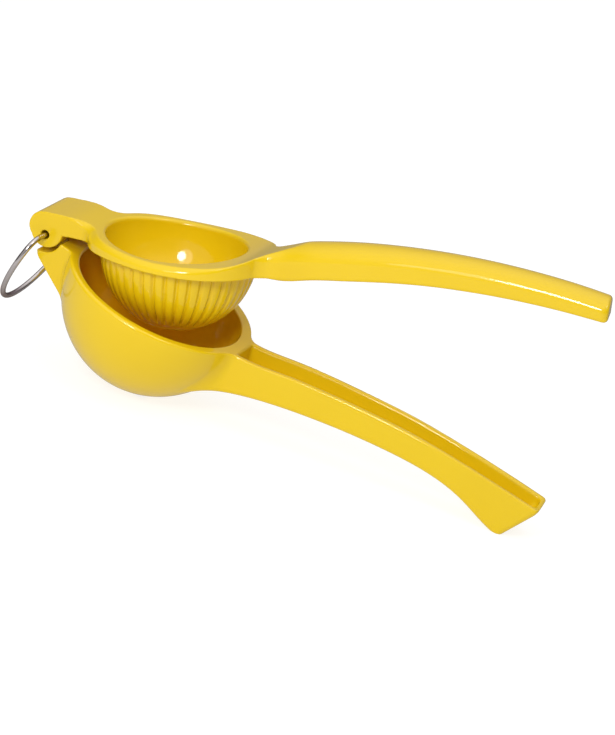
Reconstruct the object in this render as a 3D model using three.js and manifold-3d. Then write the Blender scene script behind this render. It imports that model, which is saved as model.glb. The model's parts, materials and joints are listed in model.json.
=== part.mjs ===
// Hinged lemon squeezer: an upper press arm, a lower bowl arm and the wire ring that pins them.
// Millimetres, +Z up, +X towards the handles, symmetric about the plane Y = 0.
// The squeezer stands on the bottom of its bowl and on its foot. The origin is the middle of the
// small flat under the bowl. Each arm is modelled in a frame of its own, with the hinge axis as
// its Y axis and the plane of its rim level, and is then turned about that axis.

import * as THREE from 'three';
import { mergeVertices } from 'three/addons/utils/BufferGeometryUtils.js';
import Module from 'manifold-3d';

const wasm = await Module();
wasm.setup();

// Hinge
const hingeWidth = 24;
const knuckleRadius = 5.2;
const knuckleLift = 3.3;
const knuckleSetback = 1.6;
const pivotOffset = 0.8;
const tongueWidth = 7.4;
const tongueRadius = 5.1;
const hingeSideClearance = 0.4;
const hingeRunClearance = 0.5;
const saddleRadius = 6.5;
const bracketBackDrop = 7.5;
const bracketSlopeDegrees = 33.2;
const bracketFlare = 1.5;
const edgeRound = 0.8;

// Wire ring
const wireDiameter = 2;
const boreClearance = 0.25;
const boreMouthRadius = 1.9;
const boreMouthDepth = 1.2;
const wireEndGap = 1;
const ringHalfWidth = 24.3;
const ringHalfHeight = 21.1;
const ringDrop = 10.9;
const ringBendRadius = 6;
const ringSwingDegrees = 20.2;

// Bowl of the lower arm
const bowlReach = 45.5;
const bowlInnerRadius = 32;
const bowlInnerDepth = 34;
const bowlWall = 3.9;
const bowlFloor = 3.4;
const rimRound = 1;
const drainRadius = 2;
const drainCircleRadius = 13;
const drainCount = 6;

// Press cup and flange of the upper arm
const pressReach = 47.5;
const pressRadius = 28.2;
const pressDepth = 27.8;
const pressWall = 1.9;
const pressFloor = 3.4;
const fluteCount = 40;
const fluteDepth = 0.9;
const ribCrown = 0.15;
const flangeReach = 50;
const flangeHalfLength = 33;
const flangeHalfWidth = 31;
const flangeThickness = 3.5;
const flangeSag = 2.7;
const closedGap = 0.6;

// Handles
const upperReach = 209.6;
const upperCrownHeight = 23;
const upperHalfWidth = 9.25;
const upperWall = 2.2;
const upperEndRound = 2.5;
const upperChannelMargin = 12;
const lowerReach = 204;
const lowerRimHeight = 12.4;
const lowerHalfWidth = 9.4;
const lowerRootDepth = 16.5;
const lowerWall = 1.8;
const channelDepth = 7;
const channelRootMargin = 0.9;

// Stance
const openingDegrees = 20.76;
const restFlatSink = 0.3;

// One overrun serves every cut
const overrun = 2;

// How finely round stretches are divided
const lapSegments = 40;
const arcSegments = 8;
const boreSegments = 16;
const sectionSegments = 18;
const handleSteps = 20;
const endSteps = 4;
const flangeSteps = 26;
const wireSides = 8;
const bendSteps = 4;

// How often the stance is worked out again, each time from the tilt before
const stanceRounds = 20;

// Along a handle: share of its length, then share of the size that the curve follows.
// Length runs from the far edge of the flange, or of the bowl, to the handle's end.
const upperCrownShares = [
  [-0.1, 0.24], [-0.06, 0.29], [-0.01, 0.4], [0.01, 0.446], [0.06, 0.571], [0.095, 0.668],
  [0.126, 0.708], [0.22, 0.81], [0.314, 0.889], [0.455, 0.965], [0.588, 1], [0.73, 0.99],
  [0.824, 0.973], [0.918, 0.92], [1, 0.872],
];
const upperBellyShares = [
  [-0.1, 0.03], [0.031, 0.03], [0.055, 0.046], [0.078, 0.084], [0.126, 0.159], [0.173, 0.217], [0.263, 0.332],
  [0.353, 0.416], [0.494, 0.527], [0.675, 0.592], [0.863, 0.606], [1, 0.575],
];
const upperWidthShares = [
  [-0.1, 1.7], [-0.06, 1.7], [-0.03, 1.3], [-0.008, 0.95], [0.01, 0.85], [0.031, 0.785], [0.06, 0.84],
  [0.11, 0.96], [0.17, 1], [0.3, 0.975], [0.45, 0.92], [0.6, 0.855], [0.8, 0.785], [1, 0.75],
];
const upperFlatShares = [[-0.1, 1], [0.02, 1], [0.07, 0.45], [0.11, 0], [1, 0]];
const lowerRimShares = [
  [-0.06, 0], [0.015, 0], [0.045, 0.02], [0.085, 0.1], [0.148, 0.25], [0.215, 0.39], [0.34, 0.61],
  [0.47, 0.79], [0.6, 0.91], [0.73, 0.976], [0.87, 1], [1, 1],
];
const lowerBellyShares = [
  [-0.06, -1.35], [-0.01, -1.03], [0.021, -0.92], [0.072, -0.764], [0.134, -0.618], [0.195, -0.485],
  [0.257, -0.364], [0.32, -0.255], [0.38, -0.17], [0.445, -0.073], [0.51, -0.012], [0.576, 0.061],
  [0.641, 0.097], [0.71, 0.085], [0.785, 0], [0.825, -0.085], [0.865, -0.152], [0.905, -0.26], [0.93, -0.224],
  [0.946, -0.1], [0.956, 0.08], [0.97, 0.3], [0.989, 0.52], [1, 0.66],
];
const lowerWidthShares = [
  [-0.06, 1.6], [-0.03, 1.4], [0, 1.05], [0.015, 0.93], [0.045, 0.965], [0.085, 0.99], [0.148, 1],
  [0.215, 0.955], [0.275, 0.925], [0.4, 0.91], [0.53, 0.857], [0.665, 0.83], [0.8, 0.82], [0.87, 0.787],
  [0.935, 0.745], [0.975, 0.66], [1, 0.5],
];

// Along the flange, from its hinge end to its handle end: share of its length, share of its half width
const flangeWidthShares = [
  [-0.08, 0.387], [-0.03, 0.403], [0.008, 0.484], [0.044, 0.61], [0.095, 0.71], [0.159, 0.787],
  [0.235, 0.865], [0.306, 0.923], [0.373, 0.965], [0.436, 0.987], [0.556, 1], [0.665, 0.961],
  [0.762, 0.868], [0.848, 0.719], [0.923, 0.506], [0.964, 0.361], [1, 0.27], [1.06, 0.232],
];

// Angles round the press cup, from its equator to its pole, as shares of a quarter turn,
// with the share of the full groove depth that the flutes have there
const fluteShares = [
  [0, 0], [0.03, 0.8], [0.08, 1], [0.2, 1], [0.33, 1], [0.46, 1], [0.55, 0.8], [0.61, 0], [0.74, 0],
  [0.87, 0],
];
// Across one flute: share of the pitch, share of the groove depth, share of the rib's crown
const ribShares = [[-0.22, 0, 1], [0, 1, 1], [0.22, 0, 1], [0.5, 0, 0]];

// How boxy a rounded section is: 2 is an ellipse, more is squarer
const crownPower = 2.2;
const flatTopPower = 6;
const lipPower = 8;
const bellyPower = 6;
const troughPower = 4;
const shoulderShare = 0.5;

// Where the foot begins along the lower handle
const footStartShare = 0.78;

const wireRadius = wireDiameter / 2;
const boreRadius = wireRadius + boreClearance;
const bowlOuterRadius = bowlInnerRadius + bowlWall;
const bowlOuterDepth = bowlInnerDepth + bowlFloor;
const openingAngle = THREE.MathUtils.degToRad(openingDegrees);
const bracketSlope = THREE.MathUtils.degToRad(bracketSlopeDegrees);

const enamel = new THREE.MeshStandardMaterial({ color: '#e6bd22', roughness: 0.22, metalness: 0 });
const steel = new THREE.MeshStandardMaterial({ color: '#b9b4ae', roughness: 0.25, metalness: 1 });

// A smooth curve through the points of a table, read at a place along it
function follow(table, place) {
  const last = table.length - 1;
  if (place <= table[0][0]) return table[0][1];
  if (place >= table[last][0]) return table[last][1];
  const k = table.findIndex((point, i) => i < last && place <= table[i + 1][0]);
  const slope = (i, j) => (table[j][1] - table[i][1]) / (table[j][0] - table[i][0]);
  const width = table[k + 1][0] - table[k][0];
  const startSlope = k > 0 ? slope(k - 1, k + 1) : slope(k, k + 1);
  const endSlope = k + 2 <= last ? slope(k, k + 2) : slope(k, k + 1);
  const t = (place - table[k][0]) / width;
  const ease = t * t * (3 - 2 * t);
  const bow = t * (1 - t) * ((1 - t) * startSlope - t * endSlope) * width;
  return table[k][1] * (1 - ease) + table[k + 1][1] * ease + bow;
}

// A closed solid from any closed geometry, with its faces turned outwards
function solid(geometry) {
  const bare = geometry.clone();
  bare.deleteAttribute('normal');
  bare.deleteAttribute('uv');
  const merged = mergeVertices(bare);
  const vertProperties = new Float32Array(merged.attributes.position.array);
  const triVerts = new Uint32Array(merged.index.array);
  const body = new wasm.Manifold(new wasm.Mesh({ numProp: 3, vertProperties, triVerts }));
  if (body.volume() > 0) return body;
  for (let i = 0; i < triVerts.length; i += 3) triVerts.subarray(i, i + 2).reverse();
  return new wasm.Manifold(new wasm.Mesh({ numProp: 3, vertProperties, triVerts }));
}

// A named mesh from a closed solid
function piece(name, body, material) {
  const { vertProperties, triVerts } = body.getMesh();
  const geometry = new THREE.BufferGeometry();
  geometry.setAttribute('position', new THREE.BufferAttribute(vertProperties, 3));
  geometry.setIndex(new THREE.BufferAttribute(triVerts, 1));
  geometry.computeVertexNormals();
  const mesh = new THREE.Mesh(geometry, material);
  mesh.name = name;
  return mesh;
}

// Closed rings of points, one after the other, joined by a skin and closed at both ends
function loft(rings) {
  const count = rings[0].length;
  const positions = rings.flat().flatMap((point) => [point.x, point.y, point.z]);
  const index = [];
  for (let i = 0; i + 1 < rings.length; i += 1) {
    for (let j = 0; j < count; j += 1) {
      const a = i * count + j;
      const b = i * count + ((j + 1) % count);
      index.push(a, b, b + count, a, b + count, a + count);
    }
  }
  [rings[0], rings[rings.length - 1]].forEach((ring, end) => {
    const middle = new THREE.Vector3();
    ring.forEach((point) => middle.addScaledVector(point, 1 / count));
    const first = end * (rings.length - 1) * count;
    const tip = positions.length / 3;
    positions.push(middle.x, middle.y, middle.z);
    for (let j = 0; j < count; j += 1) {
      const edge = [first + j, first + ((j + 1) % count)];
      if (end === 0) edge.reverse();
      index.push(edge[0], edge[1], tip);
    }
  });
  const geometry = new THREE.BufferGeometry();
  geometry.setAttribute('position', new THREE.Float32BufferAttribute(positions, 3));
  geometry.setIndex(index);
  return geometry;
}

// A side outline, drawn in X and Z, carried across the squeezer and centred on it
function acrossSolid(outline, width, round = 0) {
  const geometry = new THREE.ExtrudeGeometry(outline, {
    depth: width - 2 * round,
    curveSegments: arcSegments,
    bevelEnabled: round > 0,
    bevelThickness: round,
    bevelSize: round,
    bevelOffset: -round,
    bevelSegments: 2,
  });
  geometry.translate(0, 0, round - width / 2);
  geometry.rotateX(Math.PI / 2);
  return solid(geometry);
}

// A plan outline, drawn in X and Y, carried upwards between two heights
function uprightSolid(outline, low, high) {
  const depth = high - low;
  const options = { depth, curveSegments: arcSegments, bevelEnabled: false };
  const geometry = new THREE.ExtrudeGeometry(outline, options);
  geometry.translate(0, 0, low);
  return solid(geometry);
}

// A box given by its lowest and highest corners
function boxSolid(low, high) {
  const size = new THREE.Vector3().subVectors(high, low);
  const geometry = new THREE.BoxGeometry(size.x, size.y, size.z);
  geometry.translate((low.x + high.x) / 2, (low.y + high.y) / 2, (low.z + high.z) / 2);
  return solid(geometry);
}

// A round bar along the hinge axis
function axisBar(radius, width, middle = 0) {
  const geometry = new THREE.CylinderGeometry(radius, radius, width, boreSegments);
  geometry.translate(0, middle, 0);
  return solid(geometry);
}

// The bore for the wire, with a wider mouth in each side of the hinge
function boreSolid() {
  const mouthPlace = hingeWidth / 2 - boreMouthDepth + (boreMouthDepth + overrun) / 2;
  const mouthWidth = boreMouthDepth + overrun;
  return axisBar(boreRadius, hingeWidth + 2 * overrun)
    .add(axisBar(boreMouthRadius, mouthWidth, mouthPlace))
    .add(axisBar(boreMouthRadius, mouthWidth, -mouthPlace));
}

// A quarter ellipse turned about an upright axis: half an ellipsoid that hangs below a level
function hangingDome(reach, radius, depth, level, collar = 0) {
  const top = level + collar + overrun;
  const quarter = [new THREE.Vector2(0, top), new THREE.Vector2(radius, top)];
  for (let i = 0; i < arcSegments; i += 1) {
    const angle = (i / arcSegments) * (Math.PI / 2);
    quarter.push(new THREE.Vector2(radius * Math.cos(angle), level - depth * Math.sin(angle)));
  }
  quarter.push(new THREE.Vector2(0, level - depth));
  const geometry = new THREE.LatheGeometry(quarter, lapSegments);
  geometry.rotateX(Math.PI / 2);
  geometry.translate(reach, 0, 0);
  return solid(geometry);
}

// A rounded section across a handle: crowned or flat on top and boxy below
function sectionRing(x, halfWidth, top, shoulder, bottom, topPower, bottomPower) {
  const ring = [];
  for (let k = 0; k < sectionSegments; k += 1) {
    const angle = (2 * Math.PI * k) / sectionSegments;
    const power = 2 / (Math.sin(angle) > 0 ? topPower : bottomPower);
    const across = Math.sign(Math.cos(angle)) * Math.abs(Math.cos(angle)) ** power;
    const rise = Math.abs(Math.sin(angle)) ** power;
    const z = shoulder + rise * (Math.sin(angle) > 0 ? top - shoulder : bottom - shoulder);
    ring.push(new THREE.Vector3(x, across * halfWidth, z));
  }
  return ring;
}

// A trough's section: level along the top and rounded below
function troughRing(x, halfWidth, top, bottom) {
  const ring = [];
  for (let k = 0; k <= sectionSegments; k += 1) {
    const angle = (Math.PI * k) / sectionSegments;
    const across = -Math.sign(Math.cos(angle)) * Math.abs(Math.cos(angle)) ** (2 / troughPower);
    const drop = Math.abs(Math.sin(angle)) ** (2 / troughPower);
    ring.push(new THREE.Vector3(x, across * halfWidth, top + (bottom - top) * drop));
  }
  return ring;
}

// Places along a handle, closer together where its end is rounded
function stations(from, to, endLength) {
  const places = [];
  const bend = to - endLength;
  const quarter = Math.PI / 2;
  for (let i = 0; i <= handleSteps; i += 1) places.push(from + ((bend - from) * i) / handleSteps);
  for (let i = 1; i <= endSteps; i += 1) places.push(bend + endLength * Math.sin((quarter * i) / endSteps));
  return places;
}

// Upper arm

const flangeFar = flangeReach + flangeHalfLength;
const flangeNear = flangeReach - flangeHalfLength;
const upperLength = upperReach - flangeFar;
const upperShare = (x) => (x - flangeFar) / upperLength;

// The flange's top is lowest over the middle of the cup and rises to both ends
function flangeTop(x) {
  const share = (x - pressReach) / flangeHalfLength;
  return closedGap + flangeThickness + flangeSag * share * share;
}

function flangeSolid() {
  const rings = [];
  for (let i = 0; i <= flangeSteps; i += 1) {
    const turn = (Math.PI * i) / flangeSteps;
    const x = flangeReach - (flangeHalfLength + overrun) * Math.cos(turn);
    const halfWidth = flangeHalfWidth * follow(flangeWidthShares, (x - flangeNear) / (2 * flangeHalfLength));
    const shoulder = (closedGap + flangeTop(x)) / 2;
    rings.push(sectionRing(x, halfWidth, flangeTop(x), shoulder, closedGap, lipPower, lipPower));
  }
  return solid(loft(rings));
}

// Two ears round the hinge axis and the bar that joins them to the flange
function hingeBlockSolid() {
  const tilt = Math.atan2(pivotOffset + knuckleSetback, knuckleLift);
  const barTop = knuckleLift + knuckleRadius;
  const notchStart = pivotOffset + knuckleRadius + hingeRunClearance;
  const barEnd = flangeNear + edgeRound;
  const outline = new THREE.Shape();
  outline.moveTo(notchStart, closedGap);
  outline.lineTo(barEnd, closedGap);
  outline.lineTo(barEnd, flangeTop(barEnd));
  outline.quadraticCurveTo(barEnd - knuckleRadius, barTop, notchStart, barTop);
  outline.absarc(-knuckleSetback, knuckleLift, knuckleRadius, Math.PI / 2, (3 * Math.PI) / 2 - tilt, false);
  outline.absarc(pivotOffset, 0, knuckleRadius, (3 * Math.PI) / 2 - tilt, 2 * Math.PI, false);
  outline.closePath();
  const slotWidth = tongueWidth + 2 * hingeSideClearance;
  const slotRadius = tongueRadius + hingeRunClearance;
  const reach = knuckleRadius + knuckleSetback + overrun;
  const low = new THREE.Vector3(-reach, -slotWidth / 2, -reach);
  const under = boxSolid(low, new THREE.Vector3(notchStart, slotWidth / 2, closedGap));
  const back = boxSolid(low, new THREE.Vector3(0, slotWidth / 2, tongueRadius));
  const slot = axisBar(slotRadius, slotWidth).add(under).add(back);
  return acrossSolid(outline, hingeWidth, edgeRound).subtract(slot);
}

// The press cup's outside, with its flutes
function pressGeometry() {
  const rings = [];
  const top = closedGap + flangeThickness / 2;
  for (const [turnShare, grooveShare] of [[-1, 0], ...fluteShares]) {
    const angle = (Math.max(turnShare, 0) * Math.PI) / 2;
    const z = turnShare < 0 ? top : closedGap - pressDepth * Math.sin(angle);
    const ring = [];
    for (let k = 0; k < fluteCount; k += 1) {
      for (const [pitchShare, depthShare, crownShare] of ribShares) {
        const turn = (2 * Math.PI * (k + pitchShare)) / fluteCount;
        const cut = grooveShare * (fluteDepth * depthShare + ribCrown * crownShare);
        const radius = pressRadius * Math.cos(angle) - cut;
        ring.push(new THREE.Vector3(pressReach + radius * Math.cos(turn), radius * Math.sin(turn), z));
      }
    }
    rings.push(ring);
  }
  const geometry = loft(rings);
  const places = geometry.attributes.position;
  places.setZ(places.count - 1, closedGap - pressDepth);
  return geometry;
}

function upperHandleRing(x, wall) {
  const share = upperShare(x);
  const past = Math.max(0, x - (upperReach - upperEndRound)) / upperEndRound;
  const inset = wall + upperEndRound * (1 - Math.sqrt(Math.max(0, 1 - past * past)));
  const halfWidth = upperHalfWidth * follow(upperWidthShares, share) - inset;
  const top = upperCrownHeight * follow(upperCrownShares, share) - inset;
  const belly = upperCrownHeight * follow(upperBellyShares, share);
  const bottom = wall > 0 ? belly - overrun : belly + inset;
  const shoulder = bottom + (top - bottom) * shoulderShare;
  const flat = follow(upperFlatShares, share);
  const topPower = crownPower + (flatTopPower - crownPower) * flat;
  return sectionRing(x, halfWidth, top, shoulder, bottom, topPower, bellyPower);
}

function upperArmSolid() {
  const handle = solid(loft(stations(flangeFar - pressWall * 2, upperReach, upperEndRound)
    .map((x) => upperHandleRing(x, 0))));
  const channelFrom = flangeFar + upperChannelMargin;
  const channelTo = upperReach - upperEndRound - upperWall;
  const channelRings = [];
  for (let i = 0; i <= handleSteps / 2; i += 1) {
    const x = channelFrom + ((channelTo - channelFrom) * i) / (handleSteps / 2);
    channelRings.push(upperHandleRing(x, upperWall));
  }
  const cupDepth = pressDepth - pressFloor + flangeThickness;
  const cupTop = closedGap + flangeThickness;
  const cup = hangingDome(pressReach, pressRadius - pressWall, cupDepth, cupTop, flangeSag);
  return solid(pressGeometry())
    .add(flangeSolid())
    .add(hingeBlockSolid())
    .add(handle)
    .subtract(solid(loft(channelRings)))
    .subtract(cup)
    .subtract(boreSolid());
}

// Lower arm

const bowlFar = bowlReach + bowlOuterRadius;
const bowlNear = bowlReach - bowlOuterRadius;
const lowerLength = lowerReach - bowlFar;
const lowerShare = (x) => (x - bowlFar) / lowerLength;

// The bowl's wall, with a rounded rim at height 0
function bowlSolid() {
  const profile = [];
  for (let i = 0; i < arcSegments; i += 1) {
    const angle = (1 - i / arcSegments) * (Math.PI / 2);
    const radius = i === 0 ? 0 : bowlOuterRadius * Math.cos(angle);
    profile.push(new THREE.Vector2(radius, -bowlOuterDepth * Math.sin(angle)));
  }
  profile.push(new THREE.Vector2(bowlOuterRadius, -rimRound));
  profile.push(new THREE.Vector2(bowlOuterRadius - rimRound, 0));
  profile.push(new THREE.Vector2(bowlInnerRadius + rimRound, 0));
  profile.push(new THREE.Vector2(bowlInnerRadius, -rimRound));
  for (let i = 1; i <= arcSegments; i += 1) {
    const angle = (i / arcSegments) * (Math.PI / 2);
    const radius = i === arcSegments ? 0 : bowlInnerRadius * Math.cos(angle);
    profile.push(new THREE.Vector2(radius, -bowlInnerDepth * Math.sin(angle)));
  }
  const geometry = new THREE.LatheGeometry(profile, lapSegments);
  geometry.rotateX(Math.PI / 2);
  geometry.translate(bowlReach, 0, 0);
  return solid(geometry);
}

// The bracket under the hinge: a side outline, kept within a plan that flares into the bowl
function bracketSolid() {
  const inner = bowlNear + 2 * bowlWall;
  const outline = new THREE.Shape();
  outline.moveTo(saddleRadius, 0);
  outline.lineTo(inner, 0);
  outline.lineTo(inner, -bracketBackDrop - inner * Math.tan(bracketSlope));
  outline.lineTo(0, -bracketBackDrop);
  outline.lineTo(0, -saddleRadius);
  outline.absarc(0, 0, saddleRadius, -Math.PI / 2, 0, false);
  const side = hingeWidth / 2;
  const flareStart = bowlNear - edgeRound;
  const flare = side + bracketFlare;
  const plan = new THREE.Shape();
  plan.moveTo(0, -side);
  plan.lineTo(flareStart, -side);
  plan.quadraticCurveTo((flareStart + inner) / 2, -side, inner, -flare);
  plan.lineTo(inner, flare);
  plan.quadraticCurveTo((flareStart + inner) / 2, side, flareStart, side);
  plan.lineTo(0, side);
  plan.closePath();
  const reach = bowlOuterDepth;
  return acrossSolid(outline, 2 * flare).intersect(uprightSolid(plan, -reach, overrun));
}

// The tongue that stands in the upper arm's slot
function tongueSolid() {
  const outline = new THREE.Shape();
  const lastTurn = Math.PI + Math.asin(tongueRadius / bracketBackDrop);
  outline.moveTo(0, -bracketBackDrop);
  outline.lineTo(saddleRadius + overrun, -bracketBackDrop);
  outline.lineTo(saddleRadius + overrun, 0);
  outline.lineTo(tongueRadius, 0);
  outline.absarc(0, 0, tongueRadius, 0, lastTurn, false);
  outline.closePath();
  return acrossSolid(outline, tongueWidth);
}

// Even steps along the lower handle, and then every place that shapes the foot
function lowerPlaces() {
  const footShares = lowerBellyShares.map((point) => point[0]).filter((share) => share >= footStartShare);
  const from = bowlFar - bowlWall;
  const to = bowlFar + lowerLength * footShares[0];
  const places = footShares.map((share) => bowlFar + lowerLength * share);
  for (let i = handleSteps - 1; i >= 0; i -= 1) places.unshift(from + ((to - from) * i) / handleSteps);
  return places;
}

function lowerArmBody() {
  const outer = lowerPlaces().map((x) => {
    const share = lowerShare(x);
    const rim = lowerRimHeight * follow(lowerRimShares, share);
    const belly = lowerRootDepth * follow(lowerBellyShares, share);
    return troughRing(x, lowerHalfWidth * follow(lowerWidthShares, share), rim, belly);
  });
  const channelFrom = bowlFar + channelRootMargin;
  const channelTo = lowerReach - 2 * lowerWall;
  const trough = [];
  for (const x of stations(channelFrom, channelTo, lowerWall)) {
    const share = lowerShare(x);
    const rim = lowerRimHeight * follow(lowerRimShares, share);
    const halfWidth = lowerHalfWidth * follow(lowerWidthShares, share) - lowerWall;
    trough.push(troughRing(x, halfWidth, rim + overrun, rim - channelDepth));
  }
  return bowlSolid()
    .add(bracketSolid().subtract(hangingDome(bowlReach, bowlInnerRadius, bowlInnerDepth, 0)))
    .add(tongueSolid())
    .add(solid(loft(outer)))
    .subtract(solid(loft(trough)))
    .subtract(boreSolid());
}

// One hole in the middle of the bowl's bottom and a circle of them round it
function drainSolid() {
  let drains = null;
  for (let k = 0; k <= drainCount; k += 1) {
    const circle = k === 0 ? 0 : drainCircleRadius;
    const turn = (2 * Math.PI * (k + 0.5)) / drainCount;
    const geometry = new THREE.CylinderGeometry(drainRadius, drainRadius, bowlOuterDepth, boreSegments);
    geometry.rotateX(Math.PI / 2);
    const place = [bowlReach + circle * Math.cos(turn), circle * Math.sin(turn)];
    geometry.translate(place[0], place[1], -bowlOuterDepth);
    drains = drains ? drains.add(solid(geometry)) : solid(geometry);
  }
  return drains;
}

// Stance: the lower arm's tilt brings the foot down to the level of the bowl's lowest point

function footLow() {
  const feet = lowerPlaces().filter((x) => lowerShare(x) >= footStartShare)
    .map((x) => ({ x, z: lowerRootDepth * follow(lowerBellyShares, lowerShare(x)) }));
  return feet.reduce((low, foot) => (foot.z < low.z ? foot : low));
}

function stance() {
  const foot = footLow();
  let tilt = 0;
  let support = bowlOuterDepth;
  for (let i = 0; i < stanceRounds; i += 1) {
    support = Math.hypot(bowlOuterRadius * Math.sin(tilt), bowlOuterDepth * Math.cos(tilt));
    tilt = Math.asin((support + foot.z * Math.cos(tilt)) / (foot.x - bowlReach));
  }
  const restX = bowlReach + (bowlOuterRadius ** 2 * Math.sin(tilt)) / support;
  const restZ = (-(bowlOuterDepth ** 2) * Math.cos(tilt)) / support;
  const x = -(restX * Math.cos(tilt) + restZ * Math.sin(tilt));
  const z = restX * Math.sin(tilt) - restZ * Math.cos(tilt) - restFlatSink;
  return { tilt, x, z };
}

const { tilt: restTilt, x: pinX, z: pinZ } = stance();

// The space under the surface that the squeezer stands on, seen from the lower arm's frame
function underTable() {
  const reach = lowerReach + bowlOuterRadius;
  const geometry = new THREE.BoxGeometry(2 * reach, 2 * reach, reach);
  geometry.translate(0, 0, -reach / 2);
  geometry.translate(-pinX, 0, -pinZ);
  geometry.rotateY(-restTilt);
  return solid(geometry);
}

// Wire ring

// One half of the wire's path, as places across the hinge and heights below its axis: out from
// the middle of the pin, round a bend and round the loop to its lowest point. It is worked out for
// a round loop and then widened.
function ringHalf() {
  const fillet = ringHalfHeight - ringBendRadius;
  const bendReach = Math.sqrt(fillet ** 2 - (ringDrop - ringBendRadius) ** 2);
  const meet = Math.atan2(ringDrop - ringBendRadius, bendReach);
  const round = [];
  for (let i = 0; i < bendSteps; i += 1) {
    const turn = -Math.PI / 2 + ((Math.PI / 2 - meet) * i) / bendSteps;
    round.push([bendReach + ringBendRadius * Math.cos(turn), ringBendRadius * (1 + Math.sin(turn))]);
  }
  for (let i = 0; i <= lapSegments / 2; i += 1) {
    const turn = -meet + ((Math.PI / 2 + meet) * i) / (lapSegments / 2);
    round.push([ringHalfHeight * Math.cos(turn), ringDrop + ringHalfHeight * Math.sin(turn)]);
  }
  const widened = round.map(([across, drop]) => [(across * ringHalfWidth) / ringHalfHeight, drop]);
  return [[wireEndGap / 2, 0], ...widened];
}

function ringGeometry() {
  const half = ringHalf();
  const points = [
    ...half.map(([across, drop]) => new THREE.Vector3(0, -across, -drop)),
    ...half.slice(0, -1).reverse().map(([across, drop]) => new THREE.Vector3(0, across, -drop)),
  ];
  const rings = points.map((point, i) => {
    const before = points[Math.max(i - 1, 0)];
    const after = points[Math.min(i + 1, points.length - 1)];
    const along = new THREE.Vector3().subVectors(after, before).normalize();
    const across = new THREE.Vector3(1, 0, 0);
    const normal = new THREE.Vector3().crossVectors(along, across);
    const ring = [];
    for (let k = 0; k < wireSides; k += 1) {
      const turn = (2 * Math.PI * k) / wireSides;
      ring.push(point.clone().addScaledVector(across, wireRadius * Math.cos(turn))
        .addScaledVector(normal, wireRadius * Math.sin(turn)));
    }
    return ring;
  });
  return loft(rings);
}

// Assembly

const squeezer = new THREE.Group();
const lowerFrame = new THREE.Group();
lowerFrame.position.set(pinX, 0, pinZ);
lowerFrame.rotation.y = restTilt;
lowerFrame.add(piece('lower_arm', lowerArmBody().subtract(drainSolid()).subtract(underTable()), enamel));
const upperFrame = new THREE.Group();
upperFrame.position.set(pinX, 0, pinZ);
upperFrame.rotation.y = restTilt - openingAngle;
upperFrame.add(piece('upper_arm', upperArmSolid(), enamel));
const ringFrame = new THREE.Group();
ringFrame.position.set(pinX, 0, pinZ);
ringFrame.rotation.y = THREE.MathUtils.degToRad(ringSwingDegrees);
ringFrame.add(piece('hinge_ring', solid(ringGeometry()), steel));
squeezer.add(lowerFrame, upperFrame, ringFrame);

export default squeezer;
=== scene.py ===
import json
import math

import bpy
import numpy as np
from mathutils import Matrix, Vector


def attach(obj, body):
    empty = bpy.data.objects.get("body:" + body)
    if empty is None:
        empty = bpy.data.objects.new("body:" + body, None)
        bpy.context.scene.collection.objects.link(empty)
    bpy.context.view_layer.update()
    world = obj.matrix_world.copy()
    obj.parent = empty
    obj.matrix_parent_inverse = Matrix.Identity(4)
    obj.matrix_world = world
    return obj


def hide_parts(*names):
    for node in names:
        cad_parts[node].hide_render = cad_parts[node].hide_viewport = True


# A hinged lemon squeezer: two enamelled castings and a wire ring.
# Each arm is worked out in millimetres in a frame of its own: the hinge axis is its Y axis, its
# rim is level and +X runs towards the handle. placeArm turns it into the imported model's frame.

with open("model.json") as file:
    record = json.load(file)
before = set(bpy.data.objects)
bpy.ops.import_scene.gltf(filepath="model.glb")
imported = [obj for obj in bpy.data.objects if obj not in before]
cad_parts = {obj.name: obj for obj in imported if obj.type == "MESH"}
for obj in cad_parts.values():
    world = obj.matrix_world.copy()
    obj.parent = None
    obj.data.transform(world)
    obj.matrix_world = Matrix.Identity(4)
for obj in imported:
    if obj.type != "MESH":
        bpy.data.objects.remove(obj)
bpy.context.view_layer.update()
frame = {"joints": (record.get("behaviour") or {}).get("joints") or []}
print("frame loaded")

mm = 0.001
pin = np.array(next(j for j in frame["joints"] if j["name"] == "arm_hinge")["pos_m"]) / mm

# How the arms stand in the photograph, in degrees
stance = {
    "lowerTilt": 13.0445,   # the foot comes down to the level of the bowl's lowest point
    "opening": 20.76,       # between the two arms
    "ringSwing": 20.2,      # the ring stands out from straight down
}
lowerTurn = math.radians(stance["lowerTilt"])
upperTurn = math.radians(stance["lowerTilt"] - stance["opening"])


# Turns points about the hinge axis, handle side down, and moves them to the pin.
# x' = x cos t + z sin t, z' = z cos t - x sin t
def placeArm(points, turn):
    x, y, z = np.asarray(points, float).T
    c, s = math.cos(turn), math.sin(turn)
    return (np.stack([x * c + z * s, y, z * c - x * s], 1) + pin) * mm


# Camera and light

# The camera as fitted to the photograph, in the upper arm's frame, in millimetres and pixels
photo = {
    "azimuth": 19.53,
    "elevation": 18.37,
    "roll": 6.95,
    "distance": 1447.0,
    "aside": (-89.79, -50.76),
    "focalPixels": 4000.0,
    "size": (615, 735),
    "sensor": 36.0,
}


# back = (sin a cos e, -cos a cos e, sin e); right and up are then rolled about it
def photoAxes():
    a, e, r = (math.radians(photo[k]) for k in ("azimuth", "elevation", "roll"))
    back = np.array([math.sin(a) * math.cos(e), -math.cos(a) * math.cos(e), math.sin(e)])
    right = np.array([math.cos(a), math.sin(a), 0.0])
    up = np.cross(back, right)
    return (math.cos(r) * right + math.sin(r) * up, math.cos(r) * up - math.sin(r) * right, back)


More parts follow.
